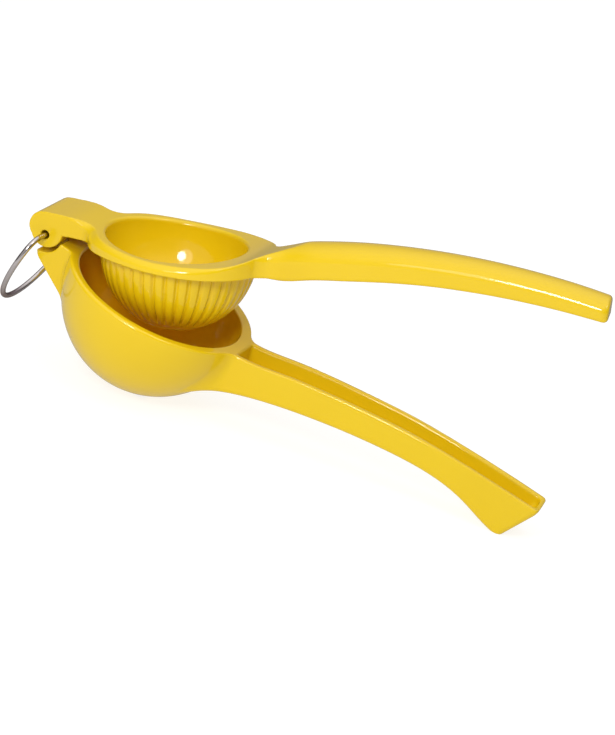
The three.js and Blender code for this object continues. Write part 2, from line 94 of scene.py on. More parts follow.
def addCamera():
    right, up, back = photoAxes()
    aside, below = photo["aside"]
    place = -(aside * right - below * up) + photo["distance"] * back
    camera = bpy.data.objects.new("camera", bpy.data.cameras.new("camera"))
    bpy.context.scene.collection.objects.link(camera)
    spots = placeArm([place, place + right, place + up, place + back], upperTurn)
    axes = [(spots[k] - spots[0]) / mm for k in (1, 2, 3)]
    camera.matrix_world = Matrix(
        [[*(axis[row] for axis in axes), spots[0][row]] for row in range(3)] + [[0, 0, 0, 1]])
    camera.data.sensor_fit = "VERTICAL"
    camera.data.sensor_height = photo["sensor"]
    camera.data.lens = photo["focalPixels"] * photo["sensor"] / photo["size"][1]
    camera.data.clip_start = 0.05
    camera.data.clip_end = 30.0
    bpy.context.scene.camera = camera


# A pale sky that brightens upwards, with soft round lights in it, two lamps close by, and a white
# floor that glows a little and that polished surfaces see darker, most so behind the squeezer.
# A light's place is its azimuth, from the front towards +X, and its elevation, in degrees.
# From the angle full inwards it has its whole strength, and from gone outwards it has none.
studio = {
    "sky": {"low": 0.1, "high": 1.39, "from": 0.35, "to": 1.1},      # by the height of a direction
    "lights": {
        "front": {"place": (-22, 25), "colour": (1.0, 1.0, 1.0), "strength": 0.4, "full": 12, "gone": 45},
        "right": {"place": (60, 60), "colour": (1.0, 1.0, 1.0), "strength": 3.0, "full": 7, "gone": 13},
        "behind": {"place": (-170, 5), "colour": (1.0, 0.85, 1.0), "strength": 0.2, "full": 15, "gone": 60},
    },
    "lamps": {      # in metres
        "key": {"place": (0.034, -0.4, 0.294), "size": 0.115, "watts": 0.72},
        "spill": {"place": (-0.02, -0.4, 0.29), "size": 0.2, "watts": 0.24},
    },
    "aim": (0.0, 0.0, 0.05),
    "floor": (0.25, 0.25, 0.25),
    "floorGlow": 0.83,
    "floorRoughness": 0.9,
    "glossGlow": {"from": -0.25, "to": 0.3, "front": 0.5, "behind": 0.0},      # metres along Y
    "floorReach": 12.0,
}


# (sin a cos e, -cos a cos e, sin e)
def skyPlace(place):
    a, e = (math.radians(v) for v in place)
    return Vector((math.sin(a) * math.cos(e), -math.cos(a) * math.cos(e), math.sin(e)))


# A smooth step of one value between two places, from the first result to the second
def stepNode(nodes, links, value, places, results):
    node = nodes.new("ShaderNodeMapRange")
    node.interpolation_type = "SMOOTHSTEP"
    links.new(value, node.inputs["Value"])
    for name, number in zip(("From Min", "From Max", "To Min", "To Max"), (*places, *results)):
        node.inputs[name].default_value = number
    return node.outputs["Result"]


# Brightness of a direction: a smooth step of its height, plus each light's colour times a smooth
# step of the direction's nearness to the light's middle
def addSky():
    world = bpy.data.worlds.new("sky")
    world.use_nodes = True
    nodes, links = world.node_tree.nodes, world.node_tree.links
    direction = nodes.new("ShaderNodeTexCoord").outputs["Generated"]
    height = nodes.new("ShaderNodeSeparateXYZ")
    links.new(direction, height.inputs["Vector"])
    sky = studio["sky"]
    total = stepNode(nodes, links, height.outputs["Z"], (sky["from"], sky["to"]), (sky["low"], sky["high"]))
    for light in studio["lights"].values():
        near = nodes.new("ShaderNodeVectorMath")
        near.operation = "DOT_PRODUCT"
        links.new(direction, near.inputs[0])
        near.inputs[1].default_value = skyPlace(light["place"])
        edges = [math.cos(math.radians(light[k])) for k in ("gone", "full")]
        size = stepNode(nodes, links, near.outputs["Value"], edges, (0.0, light["strength"]))
        more = nodes.new("ShaderNodeVectorMath")
        more.operation = "MULTIPLY_ADD"
        more.inputs[0].default_value = light["colour"]
        links.new(size, more.inputs[1])
        links.new(total, more.inputs[2])
        total = more.outputs["Vector"]
    links.new(total, nodes["Background"].inputs["Color"])
    bpy.context.scene.world = world
    bpy.context.scene.view_settings.view_transform = "Standard"


# Round lamps that shine along their own -Z, so +Z points away from the press cup
def addLamps():
    for name, lamp in studio["lamps"].items():
        light = bpy.data.lights.new(name, "AREA")
        light.shape = "DISK"
        light.size = lamp["size"]
        light.energy = lamp["watts"]
        piece = bpy.data.objects.new(name, light)
        bpy.context.scene.collection.objects.link(piece)
        back = Vector(lamp["place"]) - Vector(studio["aim"])
        piece.location = lamp["place"]
        piece.rotation_euler = back.to_track_quat("Z", "Y").to_euler()
        piece.visible_camera = False


# Shape tools

# Natural cubic spline through (place, value) pairs, level beyond both ends:
# each span is a cubic, and slope and bend agree where spans meet
def splineThrough(points):
    places, values = np.array(points, float).T
    count = len(places)
    gaps = np.diff(places)
    slopes = np.diff(values) / gaps
    inner = np.arange(1, count - 1)
    system = np.eye(count)
    system[inner, inner - 1] = gaps[:-1]
    system[inner, inner] = 2 * (gaps[:-1] + gaps[1:])
    system[inner, inner + 1] = gaps[1:]
    bends = np.linalg.solve(system, np.r_[0, 3 * np.diff(slopes), 0])

    def value(x):
        x = np.clip(x, places[0], places[-1])
        k = np.clip(np.searchsorted(places, x) - 1, 0, count - 2)
        t = x - places[k]
        start = slopes[k] - gaps[k] * (2 * bends[k] + bends[k + 1]) / 3
        return values[k] + t * (start + t * (bends[k] + t * (bends[k + 1] - bends[k]) / (3 * gaps[k])))

    return value


# 0 below low, 1 above high, and 3t^2 - 2t^3 between
def ease(low, high, x):
    t = np.clip((x - low) / (high - low), 0, 1)
    return t * t * (3 - 2 * t)


# Distances are below 0 inside a body. The join has a hollow fillet of the given radius:
# within the radius of both bodies the join is radius - |(radius - a, radius - b)|
def joined(a, b, radius):
    rounded = np.hypot(np.maximum(radius - a, 0), np.maximum(radius - b, 0))
    return np.maximum(radius, np.minimum(a, b)) - rounded


# What a and b share, with its edge rounded to the given radius
def shared(a, b, radius):
    rounded = np.hypot(np.maximum(radius + a, 0), np.maximum(radius + b, 0))
    return np.minimum(-radius, np.maximum(a, b)) + rounded


# Distance to an ellipsoid of revolution: with p scaled by the radii, k0 (k0 - 1) / k1
def ellipsoid(across, high, radius, depth):
    k0 = np.sqrt((across / radius) ** 2 + (high / depth) ** 2)
    k1 = np.sqrt((across / radius ** 2) ** 2 + (high / depth ** 2) ** 2)
    return k0 * (k0 - 1) / np.maximum(k1, 1e-6)


# Distance to a superellipse |u|^n + |v|^n = 1 with half axes wide and tall, to first order:
# (g - 1) / |slope of g| with g = (|u|^n + |v|^n)^(1/n)
def superellipse(y, z, wide, tall, power):
    u = np.abs(y) / wide + 1e-6
    v = np.abs(z) / tall + 1e-6
    g = (u ** power + v ** power) ** (1 / power)
    slopeU = (u / g) ** (power - 1) / wide
    slopeV = (v / g) ** (power - 1) / tall
    return (g - 1) / np.sqrt(slopeU ** 2 + slopeV ** 2)


# Height above a line z = curve(x), measured square to it
def above(x, z, curve, step=0.5):
    slope = (curve(x + step) - curve(x - step)) / (2 * step)
    return (z - curve(x)) / np.sqrt(1 + slope ** 2)


# Distance in the X-Z plane to a segment, less a radius
def rod(x, z, start, end, radius):
    run = np.subtract(end, start)
    t = np.clip(((x - start[0]) * run[0] + (z - start[1]) * run[1]) / (run @ run), 0, 1)
    return np.hypot(x - start[0] - t * run[0], z - start[1] - t * run[1]) - radius


# Upper arm

upperArm = {
    "hingeWidth": 24.0,
    "knuckles": [(-1.35, 2.95, 5.4), (0.42, 1.5, 6.22)],    # two discs: place and radius
    "knuckleEdge": 0.45,
    "barFrom": 6.8,
    "barEnd": 9.0,
    "slotHalfWidth": 4.1,
    "slotRadius": 5.6,
    "slotReach": 6.45,
    "slotTop": 5.1,
    "boreRadius": 1.25,
    "mouthPlace": (-0.14, -0.06),
    "mouthRadius": 1.62,
    "mouthDepth": 7.0,
    "underside": 0.7,
    "undersideEdge": 0.5,
    "pressReach": 47.5,
    "pressRadius": 28.2,
    "pressDepth": 27.8,
    "pressTop": 2.5,                # where it ends inside the flange
    "cupReach": 46.0,
    "cupRadius": 25.5,
    "cupLevel": 4.45,
    "cupDepth": 28.1,
    "lipEdge": 1.3,
    "flangeReach": 49.0,
    "flangeEnd": 84.0,
    "hingeFillet": 2.5,
    "neckFillet": 3.5,
    "pressFillet": 0.8,
    "ridgeEdge": 0.6,
    "topEdge": 0.4,
    "flutes": 40,
    "fluteTurn": 0.5,
    "fluteDepth": 0.85,
    "fluteWidth": 0.27,             # half a groove, as a share of the pitch
    "ribCrown": 0.12,
    "fluteFrom": 3.0,               # degrees below the flange
    "fluteTo": 47.0,
    "fluteEnd": 7.0,
    "handleFrom": 70.0,
    "reach": 208.3,
    "endEdge": 1.2,
    "endSlant": 0.2,                # of the end seen from above
    "endRound": 4.0,                # radius of its corners
    "channelFrom": 97.0,
    "channelTo": 204.5,
    "wall": 2.2,
    "crownPower": 2.0,
    "bellyEdge": 1.2,
    "channelEnd": 2.0,              # radius of the rounding where the channel starts and stops
    "channelEdge": 0.6,
    "slotEdge": 0.3,
    "boreEdge": 0.3,
}

# Radius of the flange's outline about its middle, by degrees from the handle's side
flangeOutline = splineThrough([
    (0, 33.0), (25, 32.9), (43, 32.7), (56, 32.4), (68, 31.9), (81, 31.3), (96, 31.1), (110, 31.3),
    (122, 32.1), (132, 33.1), (141, 34.0), (151, 34.4), (180, 34.6)])
# Height of the level face from the hinge over the cup and up the neck, where it cuts the handle's
# crown and leaves it at the top
levelTop = splineThrough([
    (2, 8.45), (8, 8.4), (12, 8.0), (15, 7.45), (19, 6.75), (24, 6.05), (32, 5.2), (47.5, 4.45), (62, 4.9),
    (70, 5.5), (76, 6.6), (82, 8.95), (87.7, 11.5), (93.5, 14.3), (100, 17.9), (108, 22.6), (120, 28.0)])
crownTop = splineThrough([
    (72, 11.6), (84.5, 12.5), (90.5, 13.75), (95.5, 15.2), (101, 16.45), (112, 18.55), (126, 20.55),
    (142, 22.05), (160, 22.85), (178, 22.65), (195, 21.6), (210, 19.9)])
# Height of the crown's foot, as a share of the handle's depth
crownFoot = splineThrough([(100, 0.5), (150, 0.48), (210, 0.38)])
upperBelly = splineThrough([
    (60, 0.7), (82, 0.7), (89, 1.0), (94, 2.1), (100, 3.9), (112, 6.4), (126, 8.9), (142, 11.2),
    (160, 12.65), (180, 13.2), (196, 12.85), (210, 12.05)])
upperWidth = splineThrough([
    (70, 9.6), (78, 8.7), (83, 7.8), (87.5, 7.35), (92, 7.8), (98, 8.75), (105, 9.2), (118, 9.1), (138, 8.6),
    (160, 7.95), (182, 7.4), (210, 6.9)])
# Width of the slanted band round the flange's top
bandWidth = splineThrough([
    (2, 0.1), (9, 0.2), (13, 1.1), (18, 2.3), (26, 2.0), (40, 1.6), (60, 1.5), (68, 1.0), (76, 0.3),
    (84, 0.1)])


# The fluted cup: an ellipsoid, its distance raised by one bell-shaped groove a pitch.
# A groove fades with q, the hypotenuse of its place across and its place past its ends.
def pressBody(x, y, z):
    d = upperArm
    aside = x - d["pressReach"]
    across = np.hypot(aside, y)
    below = z - d["underside"]
    turn = np.arctan2(y, aside) * d["flutes"] / (2 * math.pi) + d["fluteTurn"]
    turn = turn - np.round(turn)
    latitude = np.degrees(np.arctan2(-below, across))
    past = np.maximum(latitude - d["fluteTo"], 0) / d["fluteEnd"]
    past = past + np.maximum(d["fluteFrom"] - latitude, 0) / d["fluteFrom"]
    q = np.sqrt((turn / d["fluteWidth"]) ** 2 + past ** 2)
    groove = d["fluteDepth"] * ease(0, 1, 1 - q)
    crown = d["ribCrown"] * (0.5 + 0.5 * np.cos(2 * math.pi * turn)) * ease(0, 1, 1 - past)
    return ellipsoid(across, below, d["pressRadius"], d["pressDepth"]) + groove + crown


# The outline seen from above: the flange's round and the hinge block, with a fillet
def upperPlan(x, y):
    d = upperArm
    aside = x - d["flangeReach"]
    turn = np.degrees(np.arctan2(np.abs(y), aside))
    flange = np.hypot(aside, y) - flangeOutline(turn)
    block = np.maximum(np.abs(y) - d["hingeWidth"] / 2, x - d["flangeReach"] / 2)
    return joined(flange, block, d["hingeFillet"])


# The handle's section at x: half a superellipse over a box with rounded lower edges
def upperHandle(x, y, z, inset=0.0, drop=0.0):
    d = upperArm
    top = crownTop(x) - inset
    belly = upperBelly(x) - drop
    middle = belly + (top - belly) * crownFoot(x)
    wide = upperWidth(x) - inset
    over = superellipse(y, z - middle, wide, top - middle, d["crownPower"])
    under = shared(np.abs(y) - wide, belly - z, d["bellyEdge"])
    return np.where(z > middle, over, under)


def upperField(x, y, z):
    d = upperArm
    # flange with its slanted band, then the handle, both under one level face
    level = above(x, z, levelTop)
    plan = upperPlan(x, y)
    band = (plan + level + bandWidth(x)) / math.sqrt(2)
    plate = np.maximum(shared(plan, band, d["ridgeEdge"]), x - d["flangeEnd"])
    plate = shared(plate, d["underside"] - z, d["undersideEdge"])
    end = (x - d["reach"] + d["endSlant"] * y) / math.hypot(1, d["endSlant"])
    end = shared(end, np.abs(y) - upperWidth(x) - d["endEdge"], d["endRound"])
    handle = shared(upperHandle(x, y, z), end, d["endEdge"])
    arm = joined(plate, np.maximum(handle, d["handleFrom"] - x), d["neckFillet"])
    arm = np.maximum(arm, d["barFrom"] - x)
    # hinge block with its two ears
    (leftX, leftZ, leftRadius), (rightX, rightZ, rightRadius) = d["knuckles"]
    knuckle = np.hypot(x - leftX, z - leftZ) - leftRadius
    knuckle = np.minimum(knuckle, np.hypot(x - rightX, z - rightZ) - rightRadius)
    bar = np.maximum(d["underside"] - z, np.maximum(leftX - x, x - d["barEnd"]))
    bar = np.maximum(bar, np.where(x < 0, leftZ - z, -d["hingeWidth"]))
    block = shared(np.minimum(knuckle, bar), np.abs(y) - d["hingeWidth"] / 2, d["knuckleEdge"])
    body = np.minimum(arm, block)
    body = shared(body, d["underside"] - np.where(x > d["barEnd"], z, d["barEnd"]), d["undersideEdge"])
    body = joined(body, np.maximum(pressBody(x, y, z), z - d["pressTop"]), d["pressFillet"])
    # level face and cup, with the rolled lip between them
    across = np.hypot(x - d["cupReach"], y)
    cup = ellipsoid(across, np.minimum(z - d["cupLevel"], 0), d["cupRadius"], d["cupDepth"])
    body = shared(body, shared(level, -cup, d["lipEdge"]), d["topEdge"])
    # what is taken away: channel, slot and bore
    channel = upperHandle(x, y, z, d["wall"], 2 * d["wall"])
    channel = shared(channel, d["channelFrom"] - x, d["channelEnd"])
    channel = shared(channel, x - d["channelTo"], d["channelEnd"])
    body = shared(body, -channel, d["channelEdge"])
    slot = np.maximum(z - d["underside"], x - d["slotReach"])
    slot = np.minimum(slot, np.hypot(x, z) - d["slotRadius"])
    slot = np.minimum(slot, np.maximum(z - d["slotTop"], x))
    slot = np.maximum(slot, np.abs(y) - d["slotHalfWidth"])
    body = shared(body, -slot, d["slotEdge"])
    return shared(body, -boreBody(x, y, z), d["boreEdge"])


# The bore for the wire: a bar along the axis, wider in its mouths
def boreBody(x, y, z):
    d = upperArm
    placeX, placeZ = d["mouthPlace"]
    mouth = np.hypot(x - placeX, z - placeZ) - d["mouthRadius"]
    mouth = np.maximum(mouth, d["hingeWidth"] / 2 - d["mouthDepth"] - np.abs(y))
    return joined(np.hypot(x, z) - d["boreRadius"], mouth, d["boreEdge"])


# Lower arm

lowerArm = {
    "bowlReach": 45.5,
    "bowlRadius": 35.9,
    "bowlDepth": 37.4,
    "insideRadius": 31.9,
    "insideDepth": 34.0,
    "saddleRadius": 6.55,
    "bracketEdge": 0.6,
    "bracketCorner": (-0.9, -7.8),
    "bracketSlope": 30.6,
    "bracketRound": 2.6,
    "bracketFillet": 1.3,
    "handleFillet": 2.6,
    "tongueHalfWidth": 3.7,
    "tongueRadius": 5.1,
    "tongueFoot": (3.5, -4.0),
    "handleFrom": 65.5,
    "channelFrom": 82.3,
    "channelDraft": 0.18,
    "channelDepth": 8.0,
    "channelEdge": 0.9,
    "wall": 2.4,
    "wallEdge": 0.9,
    "endWall": 1.8,
    "footPlace": (195.4, -4.3),     # the end face leans out from here
    "footLean": 28.0,
    "footEdge": 1.6,
    "reach": 203.3,
    "endSlant": 0.15,               # of the rim's end seen from above
    "sideDraft": 0.02,
    "bellyEdge": 1.8,
    "drainRadius": 2.0,
    "drainCircle": 13.0,
    "drains": 6,
    "drainEdge": 0.4,
    "endEdge": 1.5,                 # where the foot's end meets the rim's end
    "channelEnd": 2.0,
    "saddleEdge": 0.4,
    "boreEdge": 0.2,
    "flatEdge": 0.2,
}

lowerTop = splineThrough([
    (4, 0.1), (12, 0.0), (40, 0.0), (76, 0.0), (84, 0.2), (90, 1.1), (96, 2.45), (104, 4.3),
    (115, 6.35), (131, 8.8), (147, 10.8), (163, 11.9), (180, 12.4), (206, 12.5)])
lowerBelly = splineThrough([
    (62, -26.9), (72, -21.2), (80, -17.35), (90, -12.95), (100, -9.55), (112.9, -6.15), (128, -2.9),
    (144, -0.25), (157, 1.15), (168, 1.25), (177.7, -0.1), (187, -2.8), (192, -4.0), (196, -4.4),
    (204, -4.4)])
lowerWidth = splineThrough([
    (74, 13.0), (78.5, 10.9), (81, 9.7), (84, 9.25), (90, 9.3), (98, 9.3), (106, 9.1), (120, 8.7), (140, 8.3),
    (165, 7.8), (185, 7.6), (206, 7.2)])
# Radius of the top edges
rimEdge = splineThrough([
    (2, 0.6), (11, 0.9), (20, 1.3), (36, 1.5), (58, 1.3), (72, 0.8), (84, 0.7), (110, 0.8)])


# The lower handle's outside below its rim: a box whose sides draw in a little towards its rounded
# lower edges
def lowerSides(x, y, z):
    d = lowerArm
    side = np.abs(y) - lowerWidth(x) - d["sideDraft"] * (z - lowerTop(x))
    return shared(side, lowerBelly(x) - z, d["bellyEdge"])


# A box that hangs from the rim, drawn in towards its floor: the channel, before its ends
def lowerChannel(x, y, z):
    d = lowerArm
    below = np.minimum(z - lowerTop(x), 0)
    side = np.abs(y) - lowerWidth(x) + d["wall"] - d["channelDraft"] * below
    return shared(side, -d["channelDepth"] - below, d["channelEdge"])


def lowerField(x, y, z):
    d = lowerArm
    hinge = upperArm
    across = np.hypot(x - d["bowlReach"], y)
    bowl = np.where(z > 0, across - d["bowlRadius"], ellipsoid(across, z, d["bowlRadius"], d["bowlDepth"]))
    # bracket: its back face slopes down from the corner behind the saddle
    slope = math.radians(d["bracketSlope"])
    corner = d["bracketCorner"]
    back = (corner[0] - x) * math.sin(slope) + (corner[1] - z) * math.cos(slope)
    bracket = shared(back, corner[0] - x, d["bracketRound"])
    bracket = shared(bracket, np.abs(y) - hinge["hingeWidth"] / 2, d["bracketEdge"])
    bracket = np.maximum(bracket, x - d["bowlReach"] / 2)
    body = joined(bowl, bracket, d["bracketFillet"])
    # handle and its leaning end
    lean = math.radians(d["footLean"])
    place = d["footPlace"]
    end = (x - place[0]) * math.cos(lean) - (z - place[1]) * math.sin(lean)
    end = shared(end, x - d["reach"] + d["endSlant"] * y, d["endEdge"])
    sides = shared(np.maximum(lowerSides(x, y, z), d["handleFrom"] - x), end, d["footEdge"])
    body = joined(body, sides, d["handleFillet"])
    edge = rimEdge(x)
    body = shared(body, above(x, z, lowerTop), edge)
    # inside of the bowl and the handle's channel
    inside = ellipsoid(across, np.minimum(z, 0), d["insideRadius"], d["insideDepth"])
    body = shared(body, -inside, edge)
    start = d["channelFrom"] - d["channelDraft"] * np.minimum(z - lowerTop(x), 0) - x
    channel = shared(lowerChannel(x, y, z), start, d["channelEdge"])
    channel = shared(channel, end + d["endWall"], d["channelEnd"])
    body = shared(body, -channel, d["wallEdge"])
    # saddle and tongue
    body = shared(body, d["saddleRadius"] - np.hypot(x, z), d["saddleEdge"])
    tongue = np.maximum(rod(x, z, (0.0, 0.0), d["tongueFoot"], d["tongueRadius"]), z)
    tongue = np.minimum(tongue, np.hypot(x, z) - d["tongueRadius"])
    tongue = shared(tongue, np.abs(y) - d["tongueHalfWidth"], d["saddleEdge"])
    body = np.minimum(body, tongue)
    body = shared(body, -boreBody(x, y, z), d["boreEdge"])
    # drain holes through the bottom: the nearest of the circle, or the one in the middle
    step = 2 * math.pi / d["drains"]
    turn = np.arctan2(y, x - d["bowlReach"])
    turn = (np.round(turn / step - 0.5) + 0.5) * step
    hole = np.hypot(x - d["bowlReach"] - d["drainCircle"] * np.cos(turn), y - d["drainCircle"] * np.sin(turn))
    hole = np.minimum(hole, across) - d["drainRadius"]
    hole = np.maximum(hole, z + d["insideDepth"] / 2)
    body = shared(body, -hole, d["drainEdge"])
    # flats where it stands
    height = z * math.cos(lowerTurn) - x * math.sin(lowerTurn) + pin[2]
    return shared(body, -height, d["flatEdge"])


# Heights between which the colour is painted a deeper orange as shade, from none to the most, and where the
# painted shade fades out again
painted_shade_heights = {
    "press": (-8, -32),
    "pressSkin": 1.3,       # how far inwards the press cup's outer face counts
    "bowl": (-1, -10),
    "bowlShadeFade": (40, 70),   # along X, towards the handle
    "bowlLoss": 0.6,
}


# How much painted shade a point gets, from 0 to 1, by how far it lies down in a hollow: on the outside of the
# press cup
def upperPaintedShade(x, y, z):
    d = upperArm
    across = np.hypot(x - d["pressReach"], y)
    outside = ellipsoid(across, z - d["underside"], d["pressRadius"], d["pressDepth"])
    low = (outside > -painted_shade_heights["pressSkin"]) * (across < d["pressRadius"])
    return ease(*painted_shade_heights["press"], z) * low


# The same painted shade inside the bowl
def lowerPaintedShade(x, y, z):
    d = lowerArm
    across = np.hypot(x - d["bowlReach"], y)
    inside = ellipsoid(across, np.minimum(z, 0), d["insideRadius"], d["insideDepth"])
    shadeFade = 1 - painted_shade_heights["bowlLoss"] * ease(*painted_shade_heights["bowlShadeFade"], x)
    return ease(*painted_shade_heights["bowl"], z) * (inside < 1) * shadeFade


# The skin of a field on a grid: in every cell that the surface crosses, one point at the mean of
# the crossings on the cell's edges, and one four-sided face for every grid edge that it crosses
def skinOfField(field, axes, slab=24):
    counts = [len(axis) for axis in axes]
    value = np.empty(counts, np.float32)
    for start in range(0, counts[0], slab):
        part = slice(start, start + slab)
        value[part] = field(axes[0][part, None, None], axes[1][None, :, None], axes[2][None, None, :])
    inside = value < 0
    cells = [n - 1 for n in counts]
    corners = [(i, j, k) for i in (0, 1) for j in (0, 1) for k in (0, 1)]
    total = sum(inside[i:i + cells[0], j:j + cells[1], k:k + cells[2]].astype(np.int8) for i, j, k in corners)
    active = np.argwhere((total > 0) & (total < 8))
    number = np.full(cells, -1, np.int32)
    number[tuple(active.T)] = np.arange(len(active))
    place = np.zeros((len(active), 3))
    hits = np.zeros(len(active))
    for near in corners:
        for axis in (k for k in range(3) if not near[k]):
            along = np.arange(3) == axis
            a = value[tuple((active + near).T)]
            b = value[tuple((active + near + along).T)]
            cut = (a < 0) != (b < 0)
            t = np.where(cut, a / np.where(cut, a - b, 1), 0)
            place += cut[:, None] * (near + t[:, None] * along)
            hits += cut
    share = place / hits[:, None]
    columns = []
    for k, axis in enumerate(axes):
        first = axis[active[:, k]]
        columns.append(first + (axis[active[:, k] + 1] - first) * share[:, k])
    faces = []
    for axis in range(3):
        spans = [slice(1, n - 1) for n in counts]
        spans[axis] = slice(0, counts[axis] - 1)
        after = list(spans)
        after[axis] = slice(1, counts[axis])
        first, second = inside[tuple(spans)], inside[tuple(after)]
        edge = np.argwhere(first != second) + [span.start for span in spans]
        outward = first[first != second]
        quad = []
        for stepP, stepQ in ((1, 1), (0, 1), (0, 0), (1, 0)):
            shift = np.zeros(3, int)
            shift[(axis + 1) % 3], shift[(axis + 2) % 3] = stepP, stepQ
            quad.append(number[tuple((edge - shift).T)])
        quad = np.stack(quad, 1)
        faces.append(np.where(outward[:, None], quad, quad[:, ::-1]))
    return np.stack(columns, 1), np.concatenate(faces)


settling = {
    "rounds": 4,            # that even out the points, before two that only put them on the surface
    "pull": 0.5,            # share of the way to the neighbours' mean
    "farthest": 0.2,        # longest move onto the surface at a time, in millimetres
    "flattest": 0.1,        # least square of the slope that is divided by
}


# Slope of a field at points, from differences over a small step each way
def slopeOf(field, points, step=0.02):
    columns = []
    for axis in range(3):
        shift = np.zeros(3)
        shift[axis] = step
        columns.append(field(*(points + shift).T) - field(*(points - shift).T))
    return np.stack(columns, 1) / (2 * step)


# Evens out the points along the surface and puts each one on it:
# p moves towards its neighbours' mean, then by - f grad f / |grad f|^2
def settled(field, points, faces):
    pairs = np.concatenate([faces[:, [k, (k + 1) % 4]] for k in range(4)])
    pairs = np.concatenate([pairs, pairs[:, ::-1]])
    degree = np.bincount(pairs[:, 0], minlength=len(points))[:, None]
    reach = settling["farthest"]
    for turn in range(settling["rounds"] + 2):
        slope = slopeOf(field, points)
        size = np.maximum((slope ** 2).sum(1, keepdims=True), settling["flattest"])
        if turn < settling["rounds"]:
            sums = [np.bincount(pairs[:, 0], points[pairs[:, 1], k], len(points)) for k in range(3)]
            pull = settling["pull"] * (np.stack(sums, 1) / degree - points)
            points = points + pull - slope * (pull * slope).sum(1, keepdims=True) / size
        points = points - np.clip(field(*points.T)[:, None] * slope / size, -reach, reach)
    return points


# Places along one axis: fine to the head's end, coarser along the handle, fine again at the end
def handleAxis(low, high, headEnd, tailFrom, fine, coarse):
    return np.concatenate([
        np.arange(low, headEnd, fine), np.arange(headEnd, tailFrom, coarse), np.arange(tailFrom, high, fine)])


# A casting as one smooth mesh whose normals are the field's own
def addCasting(name, casting, material):
    low, high, fine = casting["low"], casting["high"], casting["cell"]
    axes = [handleAxis(low[0], high[0], casting["headEnd"], casting["tailFrom"], fine, casting["handleCell"])]
    axes += [np.arange(low[k], high[k], fine) for k in (1, 2)]
    points, faces = skinOfField(casting["field"], axes)
    points = settled(casting["field"], points, faces)
    normals = slopeOf(casting["field"], points)
    normals /= np.maximum(np.linalg.norm(normals, axis=1, keepdims=True), 1e-6)
    turned = (placeArm(points + normals, casting["turn"]) - placeArm(points, casting["turn"])) / mm
    mesh = bpy.data.meshes.new(name)
    mesh.from_pydata(placeArm(points, casting["turn"]).tolist(), [], faces.tolist())
    mesh.shade_smooth()
    mesh.normals_split_custom_set_from_vertices(turned.tolist())
    # painted shade: the share of the deeper orange that each point gets
    painted_shade = mesh.attributes.new("painted_shade", "FLOAT", "POINT")
    painted_shade.data.foreach_set("value", casting["painted_shade"](*points.T).astype(np.float32))
    mesh.materials.append(material)
    piece = bpy.data.objects.new(name, mesh)
    bpy.context.scene.collection.objects.link(piece)
    print(name, "made with", len(points), "points and", len(faces), "faces")
    return piece


# Wire ring

ring = {
    "wire": 1.0,            # radius of the wire
    "halfWidth": 24.3,
    "halfHeight": 21.0,
    "drop": 10.9,
    "bend": 6.0,
    "endGap": 1.0,
    "endRound": 0.3,
    "endProfile": ((0.0, 1.0), (0.3, 0.3)),     # shares of endRound: along the wire, in from its side
    "sides": 24,
    "pinSteps": 12,
    "loopSteps": 220,
    "bendSteps": 14,
}


# The wire's middle line in the plane of the loop, as (across, down) pairs: along the pin, round a
# bend, round the loop and back in the same way. It is worked out for a round loop, then widened.
def ringPath():
    radius = ring["halfHeight"]
    drop, bend = ring["drop"], ring["bend"]
    middle = math.sqrt((radius - bend) ** 2 - (drop - bend) ** 2)
    meet = math.atan2(drop - bend, middle)
    widen = ring["halfWidth"] / radius
    places = np.linspace(ring["endGap"] / 2 / widen, middle, ring["pinSteps"])[:-1]
    straight = np.stack([places, np.zeros(len(places))], 1)
    turn = np.linspace(-math.pi / 2, -meet, ring["bendSteps"])[:-1]
    corner = np.stack([middle + bend * np.cos(turn), bend + bend * np.sin(turn)], 1)
    turn = np.linspace(-meet, math.pi / 2, ring["loopSteps"] // 2)
    loop = np.stack([radius * np.cos(turn), drop + radius * np.sin(turn)], 1)
    half = np.concatenate([straight, corner, loop]) * [widen, 1]
    return np.concatenate([half, half[::-1][1:] * [-1, 1]])


# A round profile carried along the path: middle + r cos(v) side + r sin(v) X, capped at both ends
def ringSurface():
    path = ringPath()
    along = np.gradient(path, axis=0)
    along /= np.linalg.norm(along, axis=1, keepdims=True)
    side = np.stack([along[:, 1], -along[:, 0]], 1)
    inwards, loss = ring["endRound"] * np.array(ring["endProfile"]).T
    first = path[0] + along[0] * inwards[:, None]
    last = path[-1] - along[-1] * inwards[::-1, None]
    path = np.concatenate([first, path[1:-1], last])
    side = np.concatenate([side[:1], side, side[-1:]])
    cap = ring["wire"] - loss
    size = np.concatenate([cap, np.full(len(side) - 2 * len(cap), ring["wire"]), cap[::-1]])
    v = np.linspace(0, 2 * math.pi, ring["sides"], endpoint=False)
    across = path[:, None, 0] + size[:, None] * np.cos(v) * side[:, None, 0]
    down = path[:, None, 1] + size[:, None] * np.cos(v) * side[:, None, 1]
    out = size[:, None] * np.sin(v)
    points = np.stack([out, across, -down], 2).reshape(-1, 3)
    rows, columns = len(path), ring["sides"]
    i, j = np.meshgrid(np.arange(rows - 1), np.arange(columns), indexing="ij")
    a, b = i * columns + j, i * columns + (j + 1) % columns
    faces = np.stack([a, b, b + columns, a + columns], 2).reshape(-1, 4)
    caps = [list(range(columns))[::-1], list(range((rows - 1) * columns, rows * columns))]
    return points, faces.tolist() + caps


# Materials

def newMaterial(name):
    material = bpy.data.materials.new(name)
    material.use_nodes = True
    return material, material.node_tree.nodes, material.node_tree.links


enamel = {
    "colour": (0.8, 0.55, 0.004),
    "drift": (0.76, 0.51, 0.003),
    "paintedShadeColour": (0.86, 0.45, 0.002),    # painted shade, a deeper orange in the bowl and under the press cup
    "roughness": 0.5,
    "gloss": 0.05,          # of the colour under the clear coat
    "coat": 1.0,
    "coatRoughness": 0.06,
    "peelSize": 900.0,      # waves a metre
    "peel": 0.012,
    "peelDepth": 0.0005,    # metres
    "driftSize": 45.0,      # waves a metre
}
